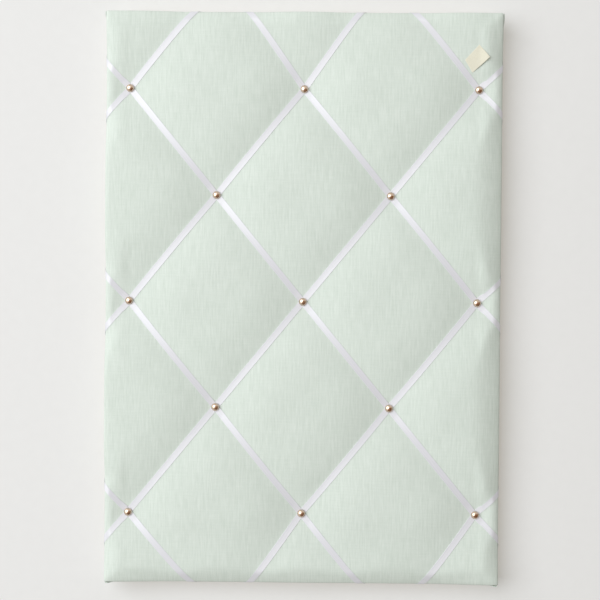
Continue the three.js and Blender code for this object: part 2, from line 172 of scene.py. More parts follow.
def feed(tree, node, inputs):
    """Sets each input of a node to a value or a hex colour, or links an output to it."""
    for name, value in dict(inputs).items():
        if isinstance(value, bpy.types.NodeSocket):
            tree.links.new(value, node.inputs[name])
        else:
            node.inputs[name].default_value = linear(value) if isinstance(value, str) else value


def add(tree, kind, inputs=(), out=0, **settings):
    """Adds a node with its settings and inputs, and gives the one of its outputs that is used."""
    made = tree.nodes.new("ShaderNode" + kind)
    for name, value in settings.items():
        setattr(made, name, value)
    feed(tree, made, inputs)
    return made.outputs[out]


def start_material(name, sockets):
    """A new material, its nodes and its shader, with these constants on the shader's sockets."""
    material = bpy.data.materials.new(name)
    material.use_nodes = True
    tree = material.node_tree
    shader = tree.nodes["Principled BSDF"]
    feed(tree, shader, sockets)
    return material, tree, shader


def wave_scale(period):
    """Scale of a banded wave texture whose bands repeat after this length."""
    return 2 * math.pi / (20 * period)


def plain_weave(tree, flat, pitch):
    """Height of threads of this pitch that run over and under each other by turns."""
    bands = {"Vector": flat, "Scale": wave_scale(pitch)}
    warp, weft = [add(tree, "TexWave", bands, out="Fac", bands_direction=way) for way in "XY"]
    over = add(tree, "TexChecker", {"Vector": flat, "Scale": 1 / pitch}, out="Fac")
    return add(tree, "Mix", {0: over, 2: warp, 3: weft})


def mint_linen():
    """Plain-woven linen: uneven flax threads give fine upright streaks, level slubs and a dry, matt face."""
    thread = 1.0 * MM  # real threads are half as wide, too fine to show
    slub_width = 1.8 * MM
    slub_length = 22 * MM
    cloud_size = 90 * MM
    material, tree, shader = start_material(
        "mint_linen", {"Roughness": 0.88, "Specular IOR Level": 0.25, "Sheen Weight": 0.08})
    flat = add(tree, "UVMap", uv_map=CLOTH_MAP)
    weave = plain_weave(tree, flat, thread)
    slubs = []
    for size in ((slub_width, slub_length), (slub_length, slub_width)):
        stretched = add(tree, "Mapping", {"Vector": flat, "Scale": (1 / size[0], 1 / size[1], 1)})
        slubs.append(add(tree, "TexNoise", {"Vector": stretched, "Scale": 1, "Detail": 3, "Roughness": 0.6}))
    uneven = add(tree, "Mix", {0: 0.25, 2: slubs[0], 3: slubs[1]})
    streak = add(tree, "MapRange", {"Value": uneven, "From Min": 0.25, "From Max": 0.75})
    cloud = add(tree, "TexNoise", {"Vector": flat, "Scale": 1 / cloud_size, "Detail": 2})
    tone = add(tree, "Mix", {0: 0.2, 2: streak, 3: cloud})
    dyed = add(tree, "Mix", {0: tone, 6: "#cbd6cd", 7: "#e5ede7"}, out=2, data_type="RGBA")
    # Painted shade and light: the low gaps between threads are painted darker and the threads' crests a
    # little lighter, following the weave's relief
    weave_shading = add(tree, "MapRange", {"Value": weave, "To Min": 0.95, "To Max": 1.02})
    shaded = add(tree, "Mix", {0: 1.0, 6: dyed, 7: weave_shading}, out=2, data_type="RGBA", blend_type="MULTIPLY")
    relief = add(tree, "Math", {0: streak, 1: weave}, operation="ADD")
    bump = add(tree, "Bump", {"Height": relief, "Strength": 0.35, "Distance": 0.12 * MM})
    feed(tree, shader, {"Base Color": shaded, "Normal": bump})
    return material


def satin_ribbon():
    """Woven satin: floating warp threads along the ribbon give a soft sheen, and fine ribs cross them."""
    warp_pitch = 0.6 * MM  # real warp threads are a quarter of this, too fine to show
    weft_pitch = 1.2 * MM
    shade_length = 25 * MM
    material, tree, shader = start_material("white_satin", {"Specular IOR Level": 1.0, "Anisotropic": 0.85})
    flat = add(tree, "UVMap", uv_map=CLOTH_MAP)
    warp, weft = [
        add(tree, "TexWave", {"Vector": flat, "Scale": wave_scale(pitch)}, out="Fac", bands_direction=way)
        for pitch, way in ((warp_pitch, "X"), (weft_pitch, "Y"))]
    ribs = add(tree, "Mix", {0: 0.3, 2: warp, 3: weft})
    stretched = add(tree, "Mapping", {"Vector": flat, "Scale": (1 / warp_pitch, 1 / shade_length, 1)})
    uneven = add(tree, "TexNoise", {"Vector": stretched, "Scale": 1, "Detail": 2})
    bleached = add(tree, "Mix", {0: uneven, 6: "#d9dae2", 7: "#e6e7ed"}, out=2, data_type="RGBA")
    gloss = add(tree, "MapRange", {"Value": uneven, "To Min": 0.33, "To Max": 0.45})
    bump = add(tree, "Bump", {"Height": ribs, "Strength": 0.25, "Distance": 0.05 * MM})
    across = add(tree, "Tangent", direction_type="UV_MAP", uv_map=CLOTH_MAP)
    feed(tree, shader, {"Base Color": bleached, "Roughness": gloss, "Normal": bump, "Tangent": across})
    return material


def cream_tape():
    """Woven cotton tape: close cross ribs and a slightly furry, matt cream face."""
    rib = 0.7 * MM  # drawn a little coarser than the real ribs
    material, tree, shader = start_material(
        "cream_tape", {"Roughness": 0.85, "Specular IOR Level": 0.3, "Sheen Weight": 0.1})
    flat = add(tree, "UVMap", uv_map=CLOTH_MAP)
    weave = plain_weave(tree, flat, rib)
    uneven = add(tree, "TexNoise", {"Vector": flat, "Scale": 1 / (4 * rib), "Detail": 3})
    # Painted shade: the low parts of the weave are painted darker and its ribs lighter, mixed half and half
    # with a random tone
    tone = add(tree, "Mix", {0: 0.5, 2: weave, 3: uneven})
    woven = add(tree, "Mix", {0: tone, 6: "#d9d6c3", 7: "#efecdc"}, out=2, data_type="RGBA")
    bump = add(tree, "Bump", {"Height": weave, "Strength": 0.4, "Distance": 0.1 * MM})
    feed(tree, shader, {"Base Color": woven, "Normal": bump})
    return material


def kraft_card():
    """Calendered kraft card: brown, with fibres along its length, dark specks and a faintly waxy face."""
    fibre_width = 1.2 * MM
    fibre_length = 9 * MM
    speck = 3 * MM
    material, tree, shader = start_material("kraft_card", {"Roughness": 0.8, "Specular IOR Level": 0.3})
    place = add(tree, "TexCoord", out="Object")
    stretched = add(tree, "Mapping", {
        "Vector": place, "Scale": (1 / fibre_width, 1 / fibre_width, 1 / fibre_length)})
    fibres = add(tree, "TexNoise", {
        "Vector": stretched, "Scale": 1, "Detail": 4, "Roughness": 0.65, "Distortion": 0.4})
    pulp = add(tree, "Mix", {0: fibres, 6: "#9c7c55", 7: "#c3a076"}, out=2, data_type="RGBA")
    grains = add(tree, "TexNoise", {"Vector": place, "Scale": 1 / speck, "Detail": 1})
    spots = add(tree, "MapRange", {"Value": grains, "From Min": 0.68, "From Max": 0.74})
    flecked = add(tree, "Mix", {0: spots, 6: pulp, 7: "#7d6040"}, out=2, data_type="RGBA")
    bump = add(tree, "Bump", {"Height": fibres, "Strength": 0.2, "Distance": 0.1 * MM})
    feed(tree, shader, {"Base Color": flecked, "Normal": bump})
    return material


def mottled(name, sockets, grain, tones, **noise):
    """A material whose colour wavers between two tones, its nodes, its shader and its pattern."""
    material, tree, shader = start_material(name, sockets)
    place = add(tree, "TexCoord", out="Object")
    pattern = add(tree, "TexNoise", {"Vector": place, "Scale": 1 / grain, **noise})
    tone = add(tree, "Mix", {0: pattern, 6: tones[0], 7: tones[1]}, out=2, data_type="RGBA")
    feed(tree, shader, {"Base Color": tone})
    return material, tree, shader, pattern


def plated_metal(name, tones, polish, patch=4 * MM, detail=4, grain=0.6):
    """Plated steel: patches of duller plate between brighter ones, each with its own polish."""
    material, tree, shader, patches = mottled(
        name, {"Metallic": 1.0}, patch, tones, Detail=detail, Roughness=grain)
    rough = add(tree, "MapRange", {"Value": patches, "To Min": polish[0], "To Max": polish[1]})
    feed(tree, shader, {"Roughness": rough})
    return material


def soft_fibre(name, fibre, tones, bump_depth):
    """Matted fibres: a dull, mottled surface with a fine felted bump."""
    material, tree, shader, felt = mottled(
        name, {"Roughness": 0.95, "Specular IOR Level": 0.2}, fibre, tones,
        Detail=6, Roughness=0.7, Distortion=1.2)
    bump = add(tree, "Bump", {"Height": felt, "Strength": 0.5, "Distance": bump_depth})
    feed(tree, shader, {"Normal": bump})
    return material


LINEN = mint_linen()
SATIN = satin_ribbon()
TAPE = cream_tape()
CARD = kraft_card()
# Pressed and polished: bright warm highlights that darken towards the rim
BRONZE = plated_metal("polished_bronze", ("#c8b3a1", "#e0cfc0"), (0.22, 0.34), 2.5 * MM, 3, 0.5)
# Barrel-plated: a soft grey shine, duller in patches
NICKEL = plated_metal("nickel_plated_steel", ("#a7a59e", "#cdcbc4"), (0.36, 0.22))
# Drawn and galvanised: a dull blue-grey
ZINC = plated_metal("zinc_plated_steel", ("#9a9c9c", "#bdc0c1"), (0.5, 0.34))
# Pressed wood fibre: brown and matt
SOFTBOARD = soft_fibre("softboard", 2 * MM, ("#94774f", "#c2a47a"), 0.3 * MM)
# Carded polyester: white, soft and lofty
WADDING = soft_fibre("polyester_wadding", 5 * MM, ("#e2e1dc", "#f6f5f1"), 0.8 * MM)


# Mesh building

def quads(rows, columns, first=0, around=False):
    """Faces of a grid of points held row by row. Around joins each row's end to its start."""
    row = np.arange(rows - 1)[:, None] * columns
    here = np.arange(columns if around else columns - 1)
    beside = (here + 1) % columns
    corners = [row + here, row + beside, row + columns + beside, row + columns + here]
    return first + np.stack(corners, -1).reshape(-1, 4)


def new_object(name, data):
    """An object in the scene for a mesh, a light or a camera."""
    made = bpy.data.objects.new(name, data)
    bpy.context.scene.collection.objects.link(made)
    return made


def new_mesh(name, points, faces):
    mesh = bpy.data.meshes.new(name)
    mesh.from_pydata(np.asarray(points).tolist(), [], [list(map(int, face)) for face in faces])
    return mesh


def add_piece(name, points, faces, material, body="board", flat=None, sharp=None):
    """A mesh piece on a body. Flat is each point's place on the uncut cloth, sharp the least hard angle."""
    mesh = new_mesh(name, points, faces)
    mesh.materials.append(material)
    if flat is not None:
        corners = np.empty(len(mesh.loops), int)
        mesh.loops.foreach_get("vertex_index", corners)
        layer = mesh.uv_layers.new(name=CLOTH_MAP)
        layer.data.foreach_set("uv", np.asarray(flat)[corners].ravel())
    mesh.shade_smooth()
    if sharp is not None:
        mesh.set_sharp_from_angle(angle=math.radians(sharp))
    piece = new_object(name, mesh)
    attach(piece, body)
    return piece


def clean_solid(piece):
    """Joins points that coincide, drops faces without area and turns every face outwards."""
    shape = bmesh.new()
    shape.from_mesh(piece.data)
    bmesh.ops.remove_doubles(shape, verts=shape.verts, dist=JOIN_WITHIN)
    bmesh.ops.dissolve_degenerate(shape, edges=shape.edges, dist=JOIN_WITHIN)
    bmesh.ops.recalc_face_normals(shape, faces=shape.faces)
    shape.to_mesh(piece.data)
    shape.free()


def thicken(piece, thickness, offset):
    """Gives a sheet its thickness: all behind it at offset -1, all before it at 1."""
    layer = piece.modifiers.new("thickness", "SOLIDIFY")
    layer.thickness = thickness
    layer.offset = offset


def ease_edges(piece, width):
    """Takes the sharpness off a piece's edges."""
    eased = piece.modifiers.new("eased edges", "BEVEL")
    eased.width = width
    eased.segments = 2


def tube_faces(rows, sides):
    """Faces of a tube of points held ring by ring, closed at both ends."""
    count = rows * sides
    ends = [list(range(sides))[::-1], list(range(count - sides, count))]
    return quads(rows, sides, around=True).tolist() + ends


def lathe(profile, sides):
    """Points and faces of (radius, y) pairs turned about Y. The first and last lie on the axis."""
    turn = np.arange(sides) * 2 * math.pi / sides
    radius, depth = np.array(profile[1:-1]).T
    deep = np.repeat(depth[:, None], sides, 1)
    rings = np.stack([np.outer(radius, np.cos(turn)), deep, np.outer(radius, np.sin(turn))], -1)
    points = np.concatenate([[(0, profile[0][1], 0)], rings.reshape(-1, 3), [(0, profile[-1][1], 0)]])
    faces = quads(len(radius), sides, 1, around=True)[:, ::-1].tolist()
    last = len(points) - 1
    start = last - sides
    for k in range(sides):
        beside = (k + 1) % sides
        faces.append([0, 1 + k, 1 + beside])
        faces.append([last, start + beside, start + k])
    return points, faces


def wire(path, plane, half_thick, half_wide, sides):
    """Points and faces of a wire along a path that lies in one plane: thick in the plane, wide across it."""
    along = np.gradient(path, axis=0)
    along /= np.linalg.norm(along, axis=1)[:, None]
    inner = np.cross(plane, along)
    turn = np.arange(sides) * 2 * math.pi / sides
    ring = half_thick * np.cos(turn)[None, :, None] * inner[:, None, :]
    ring = ring + half_wide * np.sin(turn)[None, :, None] * np.asarray(plane, float)
    return (path[:, None, :] + ring).reshape(-1, 3), tube_faces(len(path), sides)


def arc(centre, radius, start, end, steps):
    """Points (across, up) of an arc between two angles in degrees."""
    turn = np.radians(np.linspace(start, end, steps + 1))
    return np.array(centre) + radius * np.stack([np.cos(turn), np.sin(turn)], 1)


# Surface of the padded board

def blend(one, other, share):
    """A value between two, at this share of the way to the other."""
    return one * (1 - share) + other * share


def smooth(share):
    """A share that starts and ends gently."""
    return share ** 2 * (3 - 2 * share)


def fade(distance, reach):
    """1 along a ribbon's line, falling to 0 at this reach beside the channel's floor."""
    past = distance - CHANNEL_FLOOR
    past = (past + np.hypot(past, CHANNEL_EASE)) / 2
    return np.clip(1 - past / reach, 0, None) ** 2


def tail_slope(x, z):
    """Row of side nails nearest to a place, and the share of its slope that a ribbon keeps there."""
    row = LATTICE_Z + 2 * PITCH_Z * np.round((z - LATTICE_Z) / (2 * PITCH_Z))
    past = np.clip((np.abs(x) - OUTER_NAIL) / TAIL_EASE, 0, 1)
    return row, 1 - TAIL_TURN[(x > 0).astype(int), (z > row).astype(int)] * past


def end_shift(x, z, family):
    """How far a ribbon's end lies to the right of its straight line, beyond the end rows of nails."""
    up = z - LATTICE_Z
    past = np.sign(up) * np.clip(np.abs(up) - 2 * PITCH_Z, 0, None) / PITCH_Z
    to_nail = PITCH_X * (past if family == FALLING else -past)
    nail = np.clip(np.round((x + to_nail) / (2 * PITCH_X)), -1, 1).astype(int)
    return to_nail * (1 - END_LEAN[family, (up > 0).astype(int), nail + 1])


def ribbon_distances(x, z):
    """Distances to the nearest falling and the nearest rising ribbon."""
    row, slope = tail_slope(x, z)
    level = (row + (z - row) / slope - LATTICE_Z) / PITCH_Z
    falling = ((x - end_shift(x, z, FALLING)) / PITCH_X + level) / 2
    rising = ((x - end_shift(x, z, RISING)) / PITCH_X - level) / 2
    return [np.abs(step - np.round(step)) * RIBBON_SPACING for step in (falling, rising)]


def drawn_height(x, z):
    """Height of the pad as the ribbons draw it in. The floor of a channel arches up from nail to nail."""
    distances = ribbon_distances(x, z)
    channels = [fade(distance, CHANNEL_REACH) for distance in distances]
    arches = [fade(distance, RIBBON_SPACING / 2 - CHANNEL_FLOOR) for distance in distances]
    drawn_in = channels[0] * (1 + arches[1] - channels[1]) + channels[1] * (1 + arches[0] - channels[0])
    past_row = np.clip((np.abs(z - LATTICE_Z) - 2 * PITCH_Z) / END_SAG_REACH, 0, 1)
    sag = END_SAG * smooth(past_row)
    return CROWN - sag - (CHANNEL_DEPTH - sag) * drawn_in


swell = {"x": np.array([-1, 1]), "z": np.array([-1, 1]), "gain": np.zeros((2, 2))}


def swell_height(x, z):
    """What the stuffing adds to the height, read between the grid lines of the simulated linen."""
    cells = []
    for place, lines in ((x, swell["x"]), (z, swell["z"])):
        cell = np.clip(np.searchsorted(lines, place) - 1, 0, len(lines) - 2)
        cells.append((cell, np.clip((place - lines[cell]) / np.diff(lines)[cell], 0, 1)))
    (column, share_x), (row, share_z) = cells
    gain = swell["gain"]
    lower, upper = [blend(gain[line, column], gain[line, column + 1], share_x) for line in (row, row + 1)]
    return blend(lower, upper, share_z)


def soft_min(one, other, ease):
    """The lower of two heights, eased where they meet."""
    share = np.clip(0.5 + (other - one) / (2 * ease), 0, 1)
    return other + (one - other) * share - ease * share * (1 - share)


def edge_profile(offset, back_offset):
    """Section of a layer over its sloping edge, the side and the back: run, way out, height and fullness."""
    last_tilt = math.atan2(2 * SLOPE_DEPTH, SLOPE_WIDTH)
    slope_width = SLOPE_WIDTH - EDGE_BEND * (1 - math.sin(last_tilt))
    share = np.linspace(0, 1, SLOPE_STEPS + 1)
    tilt = np.arctan2(2 * SLOPE_DEPTH * share, slope_width)
    slope_out = slope_width * share + offset * np.sin(tilt)
    slope_height = SLOPE_TOP - SLOPE_DEPTH * share ** 2 + offset * np.cos(tilt)
    bend = np.linspace(tilt[-1], math.pi / 2, BEND_STEPS + 1)
    bend_radius = EDGE_BEND + offset
    bend_out = slope_out[-1] + bend_radius * (np.sin(bend) - np.sin(bend[0]))
    bend_height = slope_height[-1] + bend_radius * (np.cos(bend) - np.cos(bend[0]))
    back_bend = np.linspace(0, math.pi / 2, BEND_STEPS + 1)
    back_radius = BACK_BEND + offset
    back_out = bend_out[-1] - back_radius * (1 - np.cos(back_bend))
    back_height = CORE_FRONT - CORE_BACK - back_offset + back_radius * (1 - np.sin(back_bend))
    out = np.concatenate([slope_out, bend_out[1:], back_out, [-HALF_WIDTH]])
    height = np.concatenate([slope_height, bend_height[1:], back_height, back_height[-1:]])
    run = np.concatenate([[0], np.cumsum(np.hypot(np.diff(out), np.diff(height)))])
    fullness = np.concatenate([share ** 2, np.ones(BEND_STEPS), np.zeros(BEND_STEPS + 2)])
    return run, out, height, fullness


def edge_height(past, x, z, profile):
    """Height of a layer's edge after a run past the face."""
    run, _, height, fullness = profile
    share = smooth(np.clip(0.5 + (z / HALF_HEIGHT - x / HALF_WIDTH) / (2 * FULLNESS_FADE), 0, 1))
    corner = (np.abs(x) / HALF_WIDTH + np.abs(z) / HALF_HEIGHT - CORNER_START) / (2 - CORNER_START)
    share = np.maximum(share, CORNER_FULLNESS * np.clip(corner, 0, 1))
    drawn_in = np.clip((CROWN - drawn_height(x, z)) / CHANNEL_DEPTH, 0, 1)
    fuller = EDGE_FULLNESS * share * (1 - smooth(drawn_in)) - EDGE_PULL * (1 - share) * drawn_in
    return np.interp(past, run, height) + fuller * np.interp(past, run, fullness)


def way_out(past, profile):
    """How far out a place on a flat layer comes to lie that is this far past the face."""
    run, out = profile[:2]
    return np.where(past > 0, np.interp(past, run, out), past)


def surface_y(x, z, past, offset, profile):
    """Depth of a layer that follows the pad and, past the face, the sloping edge."""
    pad = drawn_height(x, z) + swell_height(x, z)
    return CORE_FRONT - soft_min(pad + offset, edge_height(past, x, z, profile), SLOPE_EASE)


def round_corners(places):
    """Moves the places of a rectangular grid so that its outer rings get round corners: their x and z."""
    half = np.array([HALF_WIDTH, HALF_HEIGHT]) + CLOTH_TOP
    insets = half - np.abs(places)
    inset = insets.min(-1)
    aside = np.abs(insets[..., 0] - insets[..., 1])
    radius = CORNER_RADIUS * np.clip(1 - inset / CORNER_FADE, CORNER_LEAST, 1)
    turn = math.pi / 4 * np.clip(1 - aside / radius, 0, None)
    along = inset + np.where(turn > 0, radius * (1 - np.sin(turn)), aside)
    across = inset + radius * (1 - np.cos(turn))
    upright = insets[..., 0] < insets[..., 1]
    turned = np.stack([np.where(upright, across, along), np.where(upright, along, across)], -1)
    return np.moveaxis(np.sign(places) * (half - turned), -1, 0)


def grid_lines(face_half, step, edge_runs):
    """Lines of a flat layer's grid from one edge over the face to the other."""
    face = np.linspace(-face_half, face_half, int(round(2 * face_half / step)) + 1)
    edge = face_half + edge_runs[1:]
    return np.concatenate([-edge[::-1], face, edge])


def face_grid(offset, step, edge_every):
    """A layer over the face and its edge: a grid of places, their flat places, and the edge's section."""
    profile = edge_profile(offset, offset)
    edge_runs = profile[0][:EDGE_STEPS + 1:edge_every]
    flat = np.stack(np.meshgrid(*[grid_lines(half, step, edge_runs) for half in FACE_HALF]), -1)
    past = np.abs(flat) - FACE_HALF
    x, z = round_corners(np.sign(flat) * (FACE_HALF + way_out(past, profile)))
    y = surface_y(x, z, past.max(-1), offset, profile)
    return np.stack([x, y, z], -1), flat, profile


def wrapped_skin(offset, step, edge_every, hem):
    """A layer over the face, the sides and the hem behind: points, faces, flat places and the last rim."""
    grid, flat_grid, profile = face_grid(offset, step, edge_every)
    run, out = profile[:2]
    rows, columns = grid.shape[:2]
    points = [grid.reshape(-1, 3)]
    flat = [flat_grid.reshape(-1, 2)]
    faces = [quads(rows, columns)]
    number = np.arange(rows * columns).reshape(rows, columns)
    rim = np.concatenate([number[0, :-1], number[:-1, -1], number[-1, :0:-1], number[:0:-1, 0]])
    edge_points = points[0][rim]
    edge_flat = flat[0][rim]
    past = np.abs(np.abs(edge_flat) - FACE_HALF)
    on_side = past[:, 0] > past[:, 1]
    way = np.sign(edge_flat) * np.stack([on_side, ~on_side], 1)
    side_runs = np.linspace(run[EDGE_STEPS], run[EDGE_STEPS + 1], SIDE_STEPS + 1)[1:]
    bend_runs = run[EDGE_STEPS + 3:-1:2]  # every second step of the bend to the back
    hem_runs = bend_runs[-1] + HEM_LINES * hem if hem else []
    for ring_run in np.concatenate([side_runs, bend_runs, hem_runs]):
        inset = out[EDGE_STEPS] - np.interp(ring_run, run, out)
        ring = edge_points * [1 - inset / HALF_WIDTH, 1, 1 - inset / HALF_HEIGHT]
        ring[:, 1] = CORE_FRONT - edge_height(ring_run, ring[:, 0], ring[:, 2], profile)
        further = sum(map(len, points)) + np.arange(len(rim))
        faces.append(np.stack([rim, further, np.roll(further, -1), np.roll(rim, -1)], -1))
        points.append(ring)
        flat.append(edge_flat + way * (ring_run - run[EDGE_STEPS]))
        rim = further
    return np.concatenate(points), np.concatenate(faces), np.concatenate(flat), rim


SWELL_FRAMES = 20
SWELL_MOST = 2.5 * MM
HELD_BESIDE = 2 * MM  # linen that stays down beyond each edge of a ribbon
# How the linen behaves while the stuffing presses against it
LINEN_DRUM = {
    "quality": 6, "mass": 0.3, "tension_stiffness": 40, "compression_stiffness": 40, "shear_stiffness": 20,
    "bending_stiffness": 2, "use_pressure": True, "uniform_pressure_force": 4}


def swell_pads():
    """Simulates the linen over the stuffing: ribbons and edge hold it, and pressure fills the pads."""
    grid = face_grid(CLOTH_TOP, PAD_STEP, PAD_EDGE_EVERY)[0]
    rows, columns = grid.shape[:2]
    points = grid.reshape(-1, 3)
    mesh = new_mesh("linen drum", points, quads(rows, columns))
    drum = new_object("linen drum", mesh)
    x, y, z = points.T
    by_ribbon = np.min(ribbon_distances(x, z), axis=0) < RIBBON_WIDTH / 2 + HELD_BESIDE
    by_edge = np.minimum(HALF_WIDTH - np.abs(x), HALF_HEIGHT - np.abs(z)) < SLOPE_WIDTH / 2
    held = drum.vertex_groups.new(name="held")
    held.add(np.flatnonzero(by_ribbon | by_edge).tolist(), 1.0, "REPLACE")
    cloth = drum.modifiers.new("linen", "CLOTH").settings
    cloth.vertex_group_mass = "held"
    for name, value in LINEN_DRUM.items():
        setattr(cloth, name, value)
    cloth.effector_weights.gravity = 0
    scene = bpy.context.scene
    for step in range(1, SWELL_FRAMES + 1):
        scene.frame_set(step)
    swollen = drum.evaluated_get(bpy.context.evaluated_depsgraph_get()).data
    places = np.empty(3 * len(points))
    swollen.vertices.foreach_get("co", places)
    scene.frame_set(1)
    bpy.data.objects.remove(drum)
    bpy.data.meshes.remove(mesh)
    swell["gain"] = np.clip(y - places[1::3], 0, SWELL_MOST).reshape(rows, columns)
    swell["x"] = grid[rows // 2, :, 0]
    swell["z"] = grid[:, columns // 2, 2]


# Pieces

def make_cover():
    points, faces, flat, _ = wrapped_skin(CLOTH_TOP, FACE_STEP, LINEN_EDGE_EVERY, HEM)
    cover = add_piece("stretched_linen", points, faces, LINEN, flat=flat)
    thicken(cover, CLOTH, -1)
    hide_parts("linen_cover")
    return cover


FOLD_REACH = 11 * MM  # along a side from the corner, at the back
FOLD_START = 0.3  # share of that reach, at the front
FOLD_BULGE = (0.2, 0.8)  # half waves of its bulge at the corner and at its end
FOLD_STEPS = 10
# Each fold's corner, by the signs of x and z, and how far it stands off at the back
FOLDS = [
    ("top_left", -1, 1, 0.3 * MM), ("top_right", 1, 1, 1.6 * MM),
    ("foot_left", -1, -1, 0.8 * MM), ("foot_right", 1, -1, 0.4 * MM)]


def make_corner_folds():
    """Surplus cloth of each corner, folded against the side or the bottom. Its back stands off a little."""
    profile = edge_profile(CLOTH_TOP, CLOTH_TOP)
    steps = np.linspace(0, 1, FOLD_STEPS + 1)
    down, over = np.meshgrid(steps, steps, indexing="ij")
    reach = over * FOLD_REACH * blend(FOLD_START, 1, down)
    bulge = down * np.sin(math.pi * blend(*FOLD_BULGE, over))
    folds = []
    for name, side_x, side_z, flare in FOLDS:
        rise = CLEARANCE + CLOTH + flare * bulge
        along, outwards = np.array([(0, -1), (side_x, 0)] if side_z > 0 else [(-side_x, 0), (0, -1)])
        corner = np.array([side_x * cover_high.x, side_z * cover_high.z]) + along * CORNER_RADIUS / 2
        front = CORE_FRONT - edge_height(profile[0][EDGE_STEPS], *corner, profile)
        y = front + down * (CORE_BACK - front)
        flat = np.stack([reach, y], -1).reshape(-1, 2)
        place = corner + reach[..., None] * along + rise[..., None] * outwards
        points = np.stack([place[..., 0], y, place[..., 1]], -1).reshape(-1, 3)
        fold = add_piece(f"corner_fold_{name}", points, quads(*reach.shape), LINEN, flat=flat)
        thicken(fold, CLOTH, -1 if side_x * side_z > 0 else 1)
        folds.append(fold.name)
    return folds


def make_wadding():
    """The pad on the front and sides of the core. Its inner skin is the outer one pressed onto the core."""
    outer, faces, _, rim = wrapped_skin(0, PAD_STEP, PAD_EDGE_EVERY, 0)
    bed = np.array([core_high.x + CLEARANCE, 0, core_high.z + CLEARANCE])
    inner = np.clip(outer, -bed, bed)
    inner[:, 1] = np.maximum(outer[:, 1], CORE_FRONT - CLEARANCE)
    count = len(outer)
    beside = np.roll(rim, -1)
    rim_faces = np.stack([rim, rim + count, beside + count, beside], -1)
    skins = np.concatenate([faces, faces[:, ::-1] + count, rim_faces])
    wadding = add_piece("quilted_wadding", np.concatenate([outer, inner]), skins, WADDING)
    clean_solid(wadding)
    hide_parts("wadding")


# Section of the ribbon: shares of its half width and of its thickness, with a fuller selvedge at each edge
RIBBON_TOP = [(-1, 0.5), (-0.97, 0.95), (-0.9, 1), (-0.82, 0.86), (-0.4, 0.94), (0, 0.96)]
RIBBON_SECTION = RIBBON_TOP + [(-w, t) for w, t in RIBBON_TOP[-2::-1]] + [(0.94, 0), (0, 0), (-0.94, 0)]
RIBBON_HARD_EDGE = 60  # degrees, more than between the faces of a selvedge


def fold_over(x, z, by_side, offset, back_offset, lift):
    """Places on a flat strip, folded over the side or over the top and bottom edges of the board."""
    profile = edge_profile(offset, back_offset)
    past = np.where(by_side, np.abs(x) - FACE_HALF_WIDTH, np.abs(z) - FACE_HALF_HEIGHT)
    folded = way_out(past, profile)
    face_x = np.where(by_side, np.sign(x) * (FACE_HALF_WIDTH + folded), x)
    face_z = np.where(by_side, z, np.sign(z) * (FACE_HALF_HEIGHT + folded))
    crossing = np.clip((CROSSING_HALF + CROSSING_RAMP - ribbon_distances(x, z)[1]) / CROSSING_RAMP, 0, 1)
    y = surface_y(face_x, face_z, past, offset + lift * smooth(crossing), profile)
    return np.stack([face_x, y, face_z], -1)


def make_ribbon(name, start, heading, lift):
    """One length of ribbon, laid flat through a lattice point and folded round the edges at its ends."""
    back_offset = RIBBON_FOOT + lift
    run = edge_profile(RIBBON_FOOT, back_offset)[0]
    edge_run = run[EDGE_STEPS]
    end_run = run[-2] + RIBBON_TAIL
    ends = []
    for sign in (-1, 1):
        to_side, to_top = (FACE_HALF + edge_run - sign * np.sign(heading) * start) / np.abs(heading)
        by_side = to_side < to_top
        further = (end_run - edge_run) / abs(heading[0] if by_side else heading[1])
        ends.append((by_side, min(to_side, to_top) + further))
    reach = ends[0][1] + ends[1][1]
    along = np.linspace(-ends[0][1], ends[1][1], round(reach / RIBBON_STEP) + 1)
    by_side = np.where(along < 0, ends[0][0], ends[1][0])
    middle_x, middle_z = np.array(start)[:, None] + np.outer(heading, along)
    middle_x = middle_x + end_shift(middle_x, middle_z, RISING if heading[1] > 0 else FALLING)
    columns = []
    flat = []
    for share, rise in RIBBON_SECTION:
        across = share * RIBBON_WIDTH / 2
        x = middle_x - across * heading[1]
        z = middle_z + across * heading[0]
        row, slope = tail_slope(x, z)
        z = row + (z - row) * slope
        thick = rise * RIBBON
        columns.append(fold_over(x, z, by_side, RIBBON_FOOT + thick, back_offset + thick, lift))
        flat.append(np.stack([np.full(len(along), across), along], 1))
    points = np.stack(columns, 1).reshape(-1, 3)
    faces = tube_faces(len(along), len(RIBBON_SECTION))
    flat = np.stack(flat, 1).reshape(-1, 2)
    ribbon = add_piece("satin_" + name, points, faces, SATIN, flat=flat, sharp=RIBBON_HARD_EDGE)
    clean_solid(ribbon)
    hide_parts(name)


def make_ribbons():
    """The rising ribbons lie on the linen, and the falling ones cross over them."""
    for whole in range(-OUTER_RIBBON, OUTER_RIBBON + 1):
        for family, climb, lift in (("rising", PITCH_Z, 0), ("falling", -PITCH_Z, CROSSING_LIFT)):
            heading = np.array([PITCH_X, climb]) / LATTICE_STEP
            start = (PITCH_X * whole, LATTICE_Z - climb * whole)
            make_ribbon(f"ribbon_{family}_{whole + OUTER_RIBBON + 1}", start, heading, lift)


NAIL_RADIUS = 4.5 * MM
NAIL_RISE = 3.4 * MM
NAIL_WALL = 0.7 * MM
NAIL_SHANK = 0.8 * MM
NAIL_LENGTH = 11 * MM
NAIL_POINT = 3 * MM
NAIL_SIDES = 48
NAIL_LEAN = 3  # degrees, the most that a nail driven by hand leans
NAIL_SEED = 13
DOME_STEPS = 16
LIP_TURN = (30, 180)  # degrees of the rounded rim, from the dome to the inside
LIP_STEPS = 5


